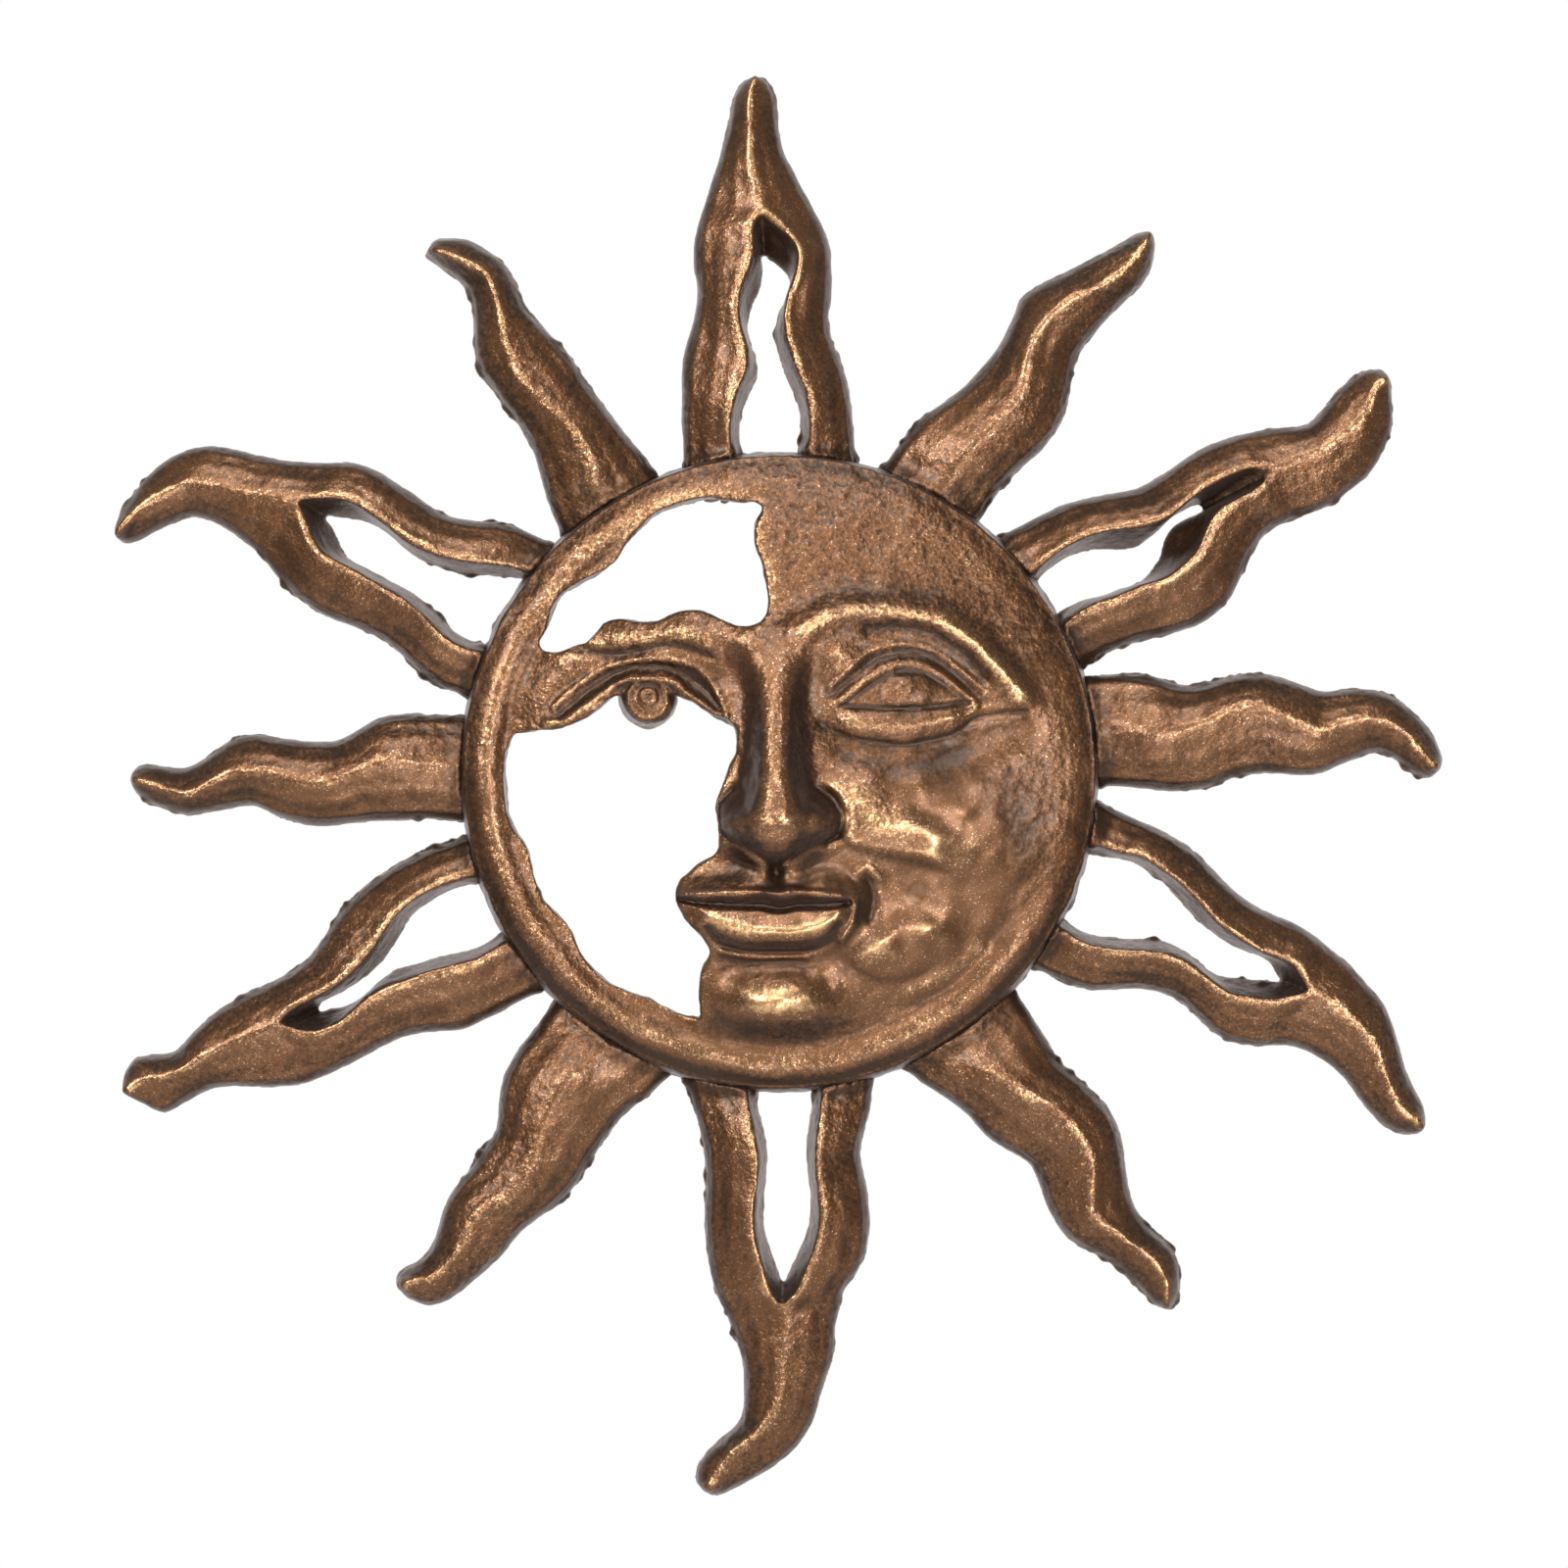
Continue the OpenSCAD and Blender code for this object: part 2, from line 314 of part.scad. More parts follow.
// The casting before its openings are cut, as rings about the centre
module relief_solid() {
    turns = 84;
    front = [for (i = [1 : 28]) i * 2.8, 80.5, 82.5, 84.5, 86.5, 88.3, 89.5, disc_r];
    back = [disc_r, 78.5, 76, 66, 54, 40, 24, 10];
    rings = concat([for (r = front) [r, true]], [for (r = back) [r, false]]);
    function ring_z(ring, p) = ring[1] ? relief(p) : ring[0] > 77 ? 0 : max(2, dome(p) - shell_t);
    points = concat([[0, 0, relief([0, 0])]],
        [for (ring = rings) for (t = [0 : turns - 1])
            let (p = ring[0] * [cos(t * 360 / turns), sin(t * 360 / turns)]) [p[0], p[1], ring_z(ring, p)]],
        [[0, 0, dome([0, 0]) - shell_t]]);
    last = len(points) - 1;
    function id(i, t) = 1 + i * turns + t % turns;
    polyhedron(points, concat(
        [for (t = [0 : turns - 1]) [0, id(0, t + 1), id(0, t)]],
        [for (i = [0 : len(rings) - 2]) for (t = [0 : turns - 1])
            each [[id(i, t), id(i, t + 1), id(i + 1, t)], [id(i, t + 1), id(i + 1, t + 1), id(i + 1, t)]]],
        [for (t = [0 : turns - 1]) [last, id(len(rings) - 1, t), id(len(rings) - 1, t + 1)]]));
}
// A rounded roll of metal along a path of [x, y, z]
module roll(path, r)
    for (i = [1 : len(path) - 1]) hull() {
        translate(path[i - 1]) sphere(r = r, $fn = 12);
        translate(path[i]) sphere(r = r, $fn = 12);
    }
module face_casting() {
    difference() {
        relief_solid();
        for (o = [forehead_opening, cheek_opening])
            translate([0, 0, -1]) linear_extrude(height = 60) polygon(closed_curve(o, 2));
    }
    translate([eyeball_at[0], eyeball_at[1], 4]) cylinder(r1 = eyeball_r, r2 = eyeball_r - 1, h = 11.5,
        $fn = 32);
    translate([eyeball_at[0], eyeball_at[1], 15.5]) scale([1, 1, 0.3]) sphere(r = eyeball_r - 1, $fn = 32);
    roll([[-64, 17, 10], [-55, 20, 12], [-47.3, 24.6, 14.5], [-42, 27.4, 15.5], [-36, 28.6, 16],
        [-30, 26.6, 16],
        [-25, 22.5, 16], [-19, 18.5, 15], [-13.5, 15.5, 15]], 2.2);
}
module hanger_bosses()
    for (y = hanger_pitch) translate([hanger_at[0], hanger_at[1] + y, hanger_t])
        cylinder(r = 4, h = y < 0 ? 12.5 : 9.5, $fn = 32);

// ---- Nodes -------------------------------------------------------------------
// The origin is the middle of the hanger's entry hole on the wall plane. Parts are
// drawn lying on their backs about the disc's centre, then stood up.
module stand() translate([-hanger_at[0], 0, -hanger_at[1]]) rotate([90, 0, 0]) children();

module face_disc() color(bronze) stand() difference() {
    union() {
        face_casting();
        hanger_bosses();
    }
    for (a = fixing_angles) {
        rotate([0, 0, a]) translate([tang_root - 0.2, -tang_w / 2 - slide_fit, -1])
            cube([12, tang_w + 2 * slide_fit, tang_t + 1]);
        rotate([0, 0, a]) translate([screw_ring, 0, 0]) cylinder(r = screw_r + 0.06, h = 9, $fn = 24);
    }
    for (y = hanger_pitch) translate([hanger_at[0], hanger_at[1] + y, 0])
        cylinder(r = 1.3, h = 8, $fn = 24);
}
module ray_at(angle) color(bronze) stand() rotate([0, 0, angle]) children();
module ray_000() ray_at(0) plain_ray(bar_000);
module ray_060() ray_at(60) plain_ray(bar_060);
module ray_120() ray_at(120) plain_ray(bar_120);
module ray_180() ray_at(180) plain_ray(bar_180);
module ray_240() ray_at(240) plain_ray(bar_240);
module ray_300() ray_at(300) plain_ray(bar_300);
module ray_030() ray_at(30) forked_ray(legs_030, apex_030, head_030);
module ray_090() ray_at(90) forked_ray(legs_090, apex_090, head_090);
module ray_150() ray_at(150) forked_ray(legs_150, apex_150, head_150);
module ray_210() ray_at(210) forked_ray(legs_210, apex_210, head_210);
module ray_270() ray_at(270) forked_ray(legs_270, apex_270, head_270);
module ray_330() ray_at(330) forked_ray(legs_330, apex_330, head_330);

// A countersunk screw with a cross recess, its head's face at z = 0
module screw(r, length, head) difference() {
    union() {
        cylinder(r1 = head, r2 = r, h = head - r, $fn = 32);
        cylinder(r = r, h = length, $fn = 32);
    }
    for (turn = [0, 90]) rotate([0, 0, turn]) cube([head * 1.1, 0.6, 1.4], center = true);
}
module ray_screws() color(steel) stand()
    for (a = fixing_angles) rotate([0, 0, a]) translate([screw_ring, 0, 0]) screw(screw_r, 8, 2 * screw_r);
module hanger_plate() color(steel) stand() translate([hanger_at[0], hanger_at[1], 0]) difference() {
    union() {
        translate([-7, hanger_pitch[0], 0]) cube([14, hanger_pitch[1] - hanger_pitch[0], hanger_t]);
        for (y = hanger_pitch) translate([0, y, 0]) cylinder(r = 7, h = hanger_t, $fn = 48);
    }
    translate([0, 0, -1]) cylinder(r = hanger_r, h = hanger_t + 2, $fn = 48);
    translate([-2.3, 0, -1]) cube([4.6, 8, hanger_t + 2]);
    translate([0, 8, -1]) cylinder(r = 2.3, h = hanger_t + 2, $fn = 32);
    for (y = hanger_pitch) translate([0, y, -0.01])
        cylinder(r1 = 2.6, r2 = 1.35, h = hanger_t + 0.02, $fn = 32);
}
module hanger_screws() color(steel) stand()
    for (y = hanger_pitch) translate([hanger_at[0], hanger_at[1] + y, 0]) screw(1.2, 7, 2.5);

face_disc();
ray_000();
ray_030();
ray_060();
ray_090();
ray_120();
ray_150();
ray_180();
ray_210();
ray_240();
ray_270();
ray_300();
ray_330();
ray_screws();
hanger_plate();
hanger_screws();
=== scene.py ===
"""Looks for a cast sun-face wall plaque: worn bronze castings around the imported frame."""

import math

import bpy
import numpy as np
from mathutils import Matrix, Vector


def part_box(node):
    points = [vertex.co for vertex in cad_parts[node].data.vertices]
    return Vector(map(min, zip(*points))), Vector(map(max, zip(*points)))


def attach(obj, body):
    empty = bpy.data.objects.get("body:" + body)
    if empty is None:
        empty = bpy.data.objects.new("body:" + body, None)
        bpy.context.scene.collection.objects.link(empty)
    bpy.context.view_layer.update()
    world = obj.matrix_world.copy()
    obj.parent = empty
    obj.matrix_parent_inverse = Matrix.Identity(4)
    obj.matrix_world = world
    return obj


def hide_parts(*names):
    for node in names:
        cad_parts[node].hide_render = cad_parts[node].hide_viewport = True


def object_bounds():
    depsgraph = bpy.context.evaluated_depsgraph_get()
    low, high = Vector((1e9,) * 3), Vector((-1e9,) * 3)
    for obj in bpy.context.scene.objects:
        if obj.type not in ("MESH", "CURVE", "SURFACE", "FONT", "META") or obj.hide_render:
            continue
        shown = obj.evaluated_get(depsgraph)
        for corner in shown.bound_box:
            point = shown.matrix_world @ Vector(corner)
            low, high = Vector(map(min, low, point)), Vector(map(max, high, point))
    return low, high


MM = 0.001
# A distance beyond anything on the plaque, in mm
FAR = 1e9

RAYS = ["ray_%03d" % angle for angle in range(0, 360, 30)]
STEEL_NODES = ["ray_screws", "hanger_plate", "hanger_screws"]

# Mesh fineness in metres, and rounds of softening after the remesh
DISC_VOXEL = 0.70 * MM
DISC_SOFTENING = 8
RAY_VOXEL = 0.62 * MM
RAY_SOFTENING = 15

# Seeds of the castings' skins
DISC_SEED = 11
FIRST_RAY_SEED = 40
SEED_STEP = 10

# The studio, in metres: size of the floor, and its distance below the plaque
FLOOR_SIZE = 1.1
FLOOR_GAP = 0.12
# The white surroundings: their strength in front of the plaque and behind it, and the directions,
# as the Y of a unit vector, between which it changes
FRONT_LIGHT = 0.16
BACK_LIGHT = 1.0
FADE_FROM_Y = -0.7
FADE_TO_Y = 0.3
# Softboxes: name, place and size in metres, power in watts
SOFTBOXES = [
    ("left_box", (-0.75, -1.5, 0.35), 0.55, 15),
    ("right_box", (0.55, -1.6, -0.05), 0.5, 11),
    ("low_box", (0.1, -1.5, -0.9), 0.7, 11),
    ("top_box", (0.0, -1.2, 1.0), 0.8, 12),
]
# The camera, in metres: distance from the wall, width of the view there, and the view's middle
# from the disc's centre
CAMERA_DISTANCE = 1.8
FRAME_WIDTH = 0.448
VIEW_MIDDLE = (0.0014, -0.0034)
# Width of the camera's sensor, in mm
SENSOR_WIDTH = 36

# Places on the disc, in mm from its centre: its edge, where the rays' roots meet it, its side's
# inner and outer end, and the radius inside which its walls are the openings' edges
DISC_R = 90.0
SIDE_INNER_R = 87.5
SIDE_OUTER_R = 90.8
OPENINGS_R = 85.0
# The stretch of rim beside the openings: its top and its right end
BESIDE_TOP = 78.0
BESIDE_RIGHT = -8.0
# The rim: inner end, crest, half width, how much wider and fuller it is beside the openings, and
# rounds of averaging that melt it into a roll
RIM_INNER_R = 75.0
RIM_CREST_R = 83.0
RIM_HALF = 4.6
RIM_WIDER = 5.0
RIM_FULLER = 1.0
RIM_ROUNDS = 170
# Where the pebbled forehead starts, and the smooth cheek's x, z, half width and half height
FOREHEAD_Z = 34.0
CHEEK = (42, -35, 34, 30)

# What sand casting leaves, in mm: the fin at the back edge, beads at the rays' roots, the slope of
# the disc's side, and the unevenness of the openings' edges
FIN = 1.1
BEADS = 1.1
DRAFT = 1.7
BROKEN_EDGE = 0.6
# Middle and half width, in mm: of the fin, from the wall, and of the beads, from the disc's centre
FIN_AT = (1.2, 1.9)
BEADS_AT = (DISC_R + 1.8, 1.8)
# How far from the wall the slope of the disc's side ends, in mm
DRAFT_DEPTH = 9.0

# Noise in the skin: height or share, cell in mm, and what is added to the casting's seed
LUMPS = (0.26, 10.0, 0)
SMALL_LUMPS = (0.13, 4.5, 1)
HAMMERED = (0.32, 7.5, 7)
SMALL_HAMMERED = (0.16, 4.0, 9)
PEBBLES = (0.17, 1.7, 2)
FIN_PATCHES = (2.2, 24.0, 6)
RAGGED = (1.0, 3.0, 3)
SMALL_RAGGED = (0.6, 1.8, 4)
BEAD_SPOTS = (1.0, 3.5, 5)
BROKEN = (0.7, 5.0, 8)
# Patches of pebbled skin, the same on every casting: share, cell in mm, seed
PEBBLED_PATCHES = (0.45, 22.0, 5)

# How much a ray's crest is sharpened, and the rounds of averaging that it stands out of
CREST_SHARPENING = 1.1
CREST_ROUNDS = 30
# Bumps are rubbed and hollows are dull: rounds of averaging that the metal stands out of, height in
# mm that counts in full, share
RUBBED_BUMPS = [(5, 0.12, 0.2), (60, 0.9, 0.8)]
# The dull hollow between the rays' roots and the disc: radius and half width, in mm, and amount
ROOT_HOLLOW = (DISC_R + 0.5, 3.5, 0.9)
# Painted light on the castings' backs, where 1 is the front's
BACK_PAINTED_LIGHT = 0.82

# Ridges (+) and grooves (-) cut into the face: height, half width, path of (x, z), all in mm
# from the disc's centre as seen from the front
FACE_LINES = [
    # right eye: lid's edge, fold above it, crease, slit under the lid, lower lid and the line under it
    (0.9, 1.3, [(16.4, 19.2), (22.8, 24.6), (29.2, 29.2), (35.8, 31), (43.4, 29.3), (49.9, 24.6),
                (55.6, 19)]),
    (-0.4, 1.9, [(15.2, 21.4), (19, 25.6), (23.6, 29.4), (29, 32.4), (35.8, 33.4), (42, 32.2),
                 (48, 28.4), (57, 21)]),
    (0.6, 0.8, [(14.6, 23.9), (20.8, 30.1), (27, 34.8), (35.8, 36), (43.3, 34.4), (52, 28.2),
                (58.3, 22.6)]),
    (-0.4, 0.8, [(18, 19.2), (25.5, 24.4), (31, 27.2), (36, 28.3), (42, 27.2), (49, 23.2), (53, 20)]),
    (-1.0, 0.7, [(16.4, 18.9), (25, 18.3), (35, 18.0), (45, 18.6), (54, 19.8)]),
    (1.3, 3.4, [(20, 14.6), (27, 13.4), (33, 12.8), (40, 13.2), (48, 15.2)]),
    (-0.6, 0.8, [(11.4, 13.6), (16, 11.4), (20.8, 9.7), (33.3, 7.8), (41, 8.8), (48.9, 11),
                 (56.4, 15.8), (70, 17.4)]),
    (-1.0, 2.2, [(25, 40), (36, 41), (45, 38.6), (53, 33), (58, 27)]),
    (0.8, 3.4, [(8, 40), (13, 43.6), (24, 46.2), (36, 45), (47, 41), (56, 34.6), (63, 28), (69, 22)]),
    (-0.8, 3.6, [(18, 5.4), (33, 1.6), (47, 4.4), (58, 10), (68, 14)]),
    # left eye: crease, hollow band and lid's edge
    (0.8, 0.9, [(-63.9, 18.4), (-57, 24.6), (-48.4, 29.8), (-37, 31.9), (-26.7, 30.9), (-19.9, 26.3),
                (-14.7, 16)]),
    (-0.8, 1.6, [(-62, 16), (-55, 22), (-47.5, 27), (-37, 29.3), (-28, 28), (-21, 22.6), (-17, 17.6)]),
    (1.0, 1.0, [(-66, 14.2), (-60.5, 14.6), (-55.3, 18.4), (-49.6, 22.4), (-45, 25.4), (-37, 26.6),
                (-30, 25.2), (-25.6, 22), (-19.9, 18), (-15.3, 15)]),
    (-1.2, 1.6, [(-60, 36), (-50, 33.5), (-40, 34.5), (-30, 36), (-20, 33)]),
    # nose: wings, base and the grooves beside the tip
    (-1.2, 1.4, [(9.5, -4), (14.5, -7), (17.4, -11), (17.2, -16), (13.5, -19.8)]),
    (-1.5, 1.3, [(-13, -5), (-16.6, -9), (-17, -14)]),
    (-1.5, 1.3, [(-16.8, -16.7), (-10, -20.6), (-5, -23.6), (-0.8, -26), (4, -23.4), (9, -20.8),
                 (16.4, -18)]),
    (-0.7, 1.8, [(6.8, -6), (7.8, -12), (7.2, -17), (4.5, -21)]),
    (-0.7, 1.8, [(-8.8, -6), (-9.8, -12), (-9.2, -17), (-6.5, -21)]),
    (0.9, 0.8, [(1, -26.4), (3.6, -23.8), (6.4, -21.4)]),
    # mouth: upper crest, parting, and the roll and line under the lower lip
    (1.5, 1.0, [(-27, -34.6), (-18, -34.2), (-9, -34), (-4, -33.8), (0, -34.7), (4, -33.8),
                (10, -34.2), (18, -35)]),
    (-2.6, 1.0, [(-28, -36), (-20, -37), (-12, -37.5), (-5, -37.6), (0, -38.4), (5, -37.7),
                 (13, -37.5), (19.5, -36.9)]),
    (-1.3, 1.3, [(-20, -44), (-16, -48.8), (-8, -50.4), (0, -50.6), (8, -50.4), (13.5, -48), (17, -43.5)]),
    (0.8, 0.8, [(-17, -50.4), (-10, -52), (0, -52.3), (8, -52)]),
    # corner of the mouth and the cheek's small ridges
    (-0.8, 1.8, [(25.6, -31), (26.6, -36), (26, -41)]),
    (0.7, 1.4, [(22.6, -27.8), (25, -27), (28, -29.4)]),
    (1.0, 0.9, [(22, -38), (20.6, -43), (17.6, -47.6)]),
    (0.6, 5.0, [(22, -7), (29, -14), (38, -18.5), (46, -23), (58, -26)]),
    (-0.5, 3.4, [(33, -5), (42, -11), (52, -15)]),
    (0.7, 2.6, [(38, -62), (48, -57.5), (57, -50)]),
    (-0.4, 3.4, [(36, -49), (43, -48), (51, -44)]),
]
# Steps, raised on the left of the path as it is followed: rise, softness, reach, path, in mm
FACE_STEPS = [
    (1.6, 0.7, 8, [(10.2, -1.2), (14, -4.2), (16.6, -7.4), (17.6, -14.3), (20.8, -20.4), (32, -23),
                   (42, -25), (49, -28), (55.8, -32.4)]),
    (0.9, 0.4, 6, [(11.4, 13.6), (20.8, 9.7), (33.3, 7.8), (41, 8.8), (48.9, 11), (56.4, 15.8),
                   (70, 17.4)]),
    (1.1, 0.8, 8, [(19.4, -49.5), (22, -53.6), (25, -56.4), (30.8, -58.1), (39.3, -56.4), (46, -52)]),
    (1.0, 1.6, 6, [(-20, -62), (-14, -69), (-6, -72.6), (1, -73.6), (8, -72), (14, -68), (17, -62)]),
]
# Round dents (-) and bumps (+): height, x, z, half width, half height, in mm
FACE_DENTS = [
    (-2.2, -0.8, -28.4, 1.7, 2.4),
    (1.2, 0.0, -67.0, 14.0, 8.0),
    (1.0, 27.0, -51.0, 6.0, 5.0),
    (0.8, -0.4, -34.4, 3.6, 1.4),
    (0.7, -3.6, -13.6, 2.2, 2.0),
    (0.7, 1.6, -13.6, 2.2, 2.0),
    (0.5, 27.0, -14.0, 6.0, 5.0),
    (-0.3, 33.0, -20.0, 7.0, 2.4),
    (0.8, 43.0, -46.0, 6.0, 3.6),
    (0.8, 17.5, 33.0, 5.0, 5.5),
    (0.8, -21.0, 34.0, 5.0, 5.0),
    (0.7, -28.0, 40.0, 5.0, 3.5),
    (0.7, -43.0, 38.0, 6.0, 3.5),
]
# Flat raised irises: height, x, z, radius, lowest z, highest z, in mm
IRISES = [(0.35, 36.2, 23.6, 6.6, 18.5, 27.8), (0.35, -37.2, 20.7, 6.2, 10.0, 40.0)]
# Raised rings in the eyes: height, half width, x, z, radius, in mm
EYE_RINGS = [
    (0.35, 0.6, 35.8, 24.2, 1.6),
    (0.6, 0.6, -37.0, 21.3, 1.9),
    (0.5, 0.7, -37.2, 20.7, 5.6),
]
# Painted highlights (+) and painted shade (-) on the face, standing in for the studio's light; on the chin
# and lower lip the painted highlight also stands for rubbed gold: amount, half width, path, in mm
PAINTED_HIGHLIGHT_AND_SHADE = [
    (0.55, 7.5, [(-4, -65), (6, -65)]),
    (0.36, 4.0, [(-16, -43), (0, -44.5), (11, -43)]),
    (0.30, 5.0, [(60, 26), (68, 20)]),
    (0.40, 6.5, [(22, -5), (29, -12), (38, -17), (52, -23)]),
    (0.25, 3.8, [(10, 42), (24, 46), (36, 45), (47, 41), (56, 34.6), (66, 24)]),
    (0.45, 3.0, [(38, -62), (48, -57.5), (58, -49)]),
    (0.40, 5.0, [(24, -46), (32, -53)]),
    (0.20, 4.0, [(44, -42), (51, -38), (54, -33)]),
    (-0.45, 10.0, [(48, 2), (66, -8), (70, -22)]),
    (-0.30, 5.0, [(20, 3), (34, -1), (50, 3)]),
    (-0.28, 16.0, [(10, 72), (32, 58), (66, 38)]),
]
# Eyes left dull: x, z, half width, in mm, and amount
DULL_EYES = [(36, 22, 11, 0.5), (-37, 21, 9, 0.5)]


# ---- Arrays and noise ----------------------------------------------------------
def lattice_noise(points, cell, seed):
    """Smooth noise from -1 to 1 whose bumps are about one cell across."""
    side = 32
    grid = np.random.default_rng(seed).random((side, side, side))
    scaled = points / cell
    base = np.floor(scaled).astype(int)
    part = scaled - base
    part = part * part * (3 - 2 * part)
    total = np.zeros(len(points))
    for corner in np.ndindex(2, 2, 2):
        place = (base + corner) % side
        share = np.prod(np.where(np.array(corner) == 1, part, 1 - part), axis=1)
        total += share * grid[place[:, 0], place[:, 1], place[:, 2]]
    return 2 * total - 1


def bell(distance, width):
    """1 at no distance, falling off within this half width."""
    return np.exp(-((distance / width) ** 2))


def ramp(value, start, length):
    """Rises evenly from 0 at the start to 1 after this length."""
    return np.clip((value - start) / length, 0, 1)


def in_plane(points, centre):
    """Places in the plane of the wall, in mm from the disc's centre."""
    return (points[:, [0, 2]] - centre) / MM


def distance_to(flat, x=0.0, z=0.0):
    """Distance in the plane from each point to one place, or to the disc's centre."""
    return np.hypot(flat[:, 0] - x, flat[:, 1] - z)


def oval(flat, x, z, across, up):
    """A soft oval spot, 1 in its middle, with these half widths."""
    return bell(np.hypot((flat[:, 0] - x) / across, (flat[:, 1] - z) / up), 1)


def path_distance(points, path):
    """Distance in the plane from each point to a path of straight stretches."""
    best = np.full(len(points), FAR)
    for start, end in zip(path, path[1:]):
        a = np.array(start, float)
        along = np.array(end, float) - a
        share = np.clip((points - a) @ along / (along @ along), 0, 1)
        best = np.minimum(best, np.linalg.norm(points - a - share[:, None] * along, axis=1))
    return best


def beside_path(points, path):
    """Distance to a path, negative to its right, and a share that fades to 0 at its ends."""
    best = np.full(len(points), FAR)
    sign = np.ones(len(points))
    travelled = np.zeros(len(points))
    for number, (start, end) in enumerate(zip(path, path[1:])):
        a = np.array(start, float)
        along = np.array(end, float) - a
        offset = points - a
        share = np.clip(offset @ along / (along @ along), 0, 1)
        distance = np.linalg.norm(offset - share[:, None] * along, axis=1)
        nearer = distance < best
        best = np.where(nearer, distance, best)
        side = np.where(along[0] * offset[:, 1] > along[1] * offset[:, 0], 1.0, -1.0)
        sign = np.where(nearer, side, sign)
        travelled = np.where(nearer, number + share, travelled)
    travelled /= len(path) - 1
    fade = ramp(travelled, 0, 0.2) * ramp(1 - travelled, 0, 0.25)
    return best * sign, fade * fade * (3 - 2 * fade)


def above(value, edge, softness):
    """Soft step from 0 below the edge to 1 above it."""
    return 1 / (1 + np.exp(-np.clip((value - edge) / softness, -30, 30)))


def rounded_path(path, steps=6):
    """The path as a smooth Catmull-Rom curve through its points."""
    p = np.array([path[0]] + list(path) + [path[-1]], float)
    curve = []
    for a, b, c, d in zip(p, p[1:], p[2:], p[3:]):
        for t in np.arange(steps) / steps:
            curve.append(0.5 * (2 * b + (c - a) * t + (2 * a - 5 * b + 4 * c - d) * t**2
                                + (3 * b - a - 3 * c + d) * t**3))
    curve.append(p[-1])
    return curve


def read(collection, name, width):
    """One property of every vertex or edge, as rows of this width."""
    values = np.empty(len(collection) * width)
    collection.foreach_get(name, values)
    return values.reshape(-1, width)


def write_points(mesh, points):
    mesh.vertices.foreach_set("co", points.ravel())
    mesh.update()


def neighbours_sum(column, edges, size):
    """The sum of one value over each vertex's neighbours."""
    total = np.bincount(edges[:, 0], column[edges[:, 1]], size)
    return total + np.bincount(edges[:, 1], column[edges[:, 0]], size)


def neighbours_mean(values, edges, rounds):
    """Each vertex's values, averaged with its neighbours' this many times."""
    size = len(values)
    count = np.bincount(edges.ravel(), minlength=size)[:, None]
    for _ in range(rounds):
        total = np.stack([neighbours_sum(column, edges, size) for column in values.T], axis=1)
        values = 0.5 * values + 0.5 * total / count
    return values


def proud(points, normals, edges, rounds):
    """How far each point stands out of its averaged surroundings."""
    return ((points - neighbours_mean(points, edges, rounds)) * normals).sum(axis=1)


def side_share(normals, start, slope):
    """1 on a casting's upright sides, falling to 0 on its front and back."""
    return np.clip(start - slope * np.abs(normals[:, 1]), 0, 1)


def add_attribute(mesh, name, values):
    """Stores one number per vertex, which the material reads by name."""
    layer = mesh.attributes.new(name, "FLOAT", "POINT")
    layer.data.foreach_set("value", values.astype(np.float32))


# ---- Castings ------------------------------------------------------------------
def remeshed(node, name, voxel, smoothing):
    """A copy of a CAD node as an even, softened quad mesh."""
    copy = bpy.data.objects.new(name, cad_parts[node].data.copy())
    bpy.context.scene.collection.objects.link(copy)
    remesh = copy.modifiers.new("even", "REMESH")
    remesh.mode = "VOXEL"
    remesh.voxel_size = voxel
    soften = copy.modifiers.new("soften", "SMOOTH")
    soften.factor = 0.5
    soften.iterations = smoothing
    evaluated = copy.evaluated_get(bpy.context.evaluated_depsgraph_get())
    mesh = bpy.data.meshes.new_from_object(evaluated)
    copy.modifiers.clear()
    copy.data = mesh
    mesh.name = name
    mesh.shade_smooth()
    return copy


def front_mean(depth, front, edges, rounds):
    """Each front vertex's depth, averaged with its front neighbours' this many times."""
    size = len(depth)
    share = front.astype(float)
    count = np.maximum(neighbours_sum(share, edges, size), 1)
    for _ in range(rounds):
        depth = 0.5 * depth + 0.5 * neighbours_sum(depth * share, edges, size) / count
    return depth


def roll_rim(points, normals, edges, centre):
    """Melts the rim into one smooth roll, which is fuller beside the openings."""
    flat = in_plane(points, centre)
    radius = distance_to(flat)
    front = normals[:, 1] < -0.3
    beside = above(BESIDE_RIGHT, flat[:, 0], 5) * above(BESIDE_TOP, flat[:, 1], 5)
    evened = front_mean(points[:, 1].copy(), front, edges, RIM_ROUNDS)
    share = 0.9 * above(radius, RIM_INNER_R - RIM_WIDER * beside, 1.4) * front
    points[:, 1] += share * (evened - points[:, 1])
    facing = ramp(-normals[:, 1], 0.3, 0.4)
    rise = (0.1 + RIM_FULLER * beside) * bell(radius - RIM_CREST_R, RIM_HALF)
    points[:, 1] -= facing * rise * MM


def cut_face(points, normals, centre):
    """Moves the front of the disc in and out by the face's fine lines."""
    flat = in_plane(points, centre)
    height = np.zeros(len(points))
    for rise, width, path in FACE_LINES:
        height += rise * bell(path_distance(flat, rounded_path(path)), width)
    for rise, x, z, across, up in FACE_DENTS:
        height += rise * oval(flat, x, z, across, up)
    for rise, softness, reach, path in FACE_STEPS:
        distance, fade = beside_path(flat, rounded_path(path))
        height += rise * fade * above(distance, 0, softness) * np.exp(-np.abs(distance) / reach)
    for rise, x, z, radius, low, high in IRISES:
        inside = above(radius - distance_to(flat, x, z), 0, 0.35)
        between_lids = above(flat[:, 1], low, 0.3) * above(high, flat[:, 1], 0.3)
        height += rise * inside * between_lids
    for rise, width, x, z, radius in EYE_RINGS:
        height += rise * bell(distance_to(flat, x, z) - radius, width)
    facing = ramp(-normals[:, 1], 0.15, 0.4)
    points[:, 1] -= height * facing * MM


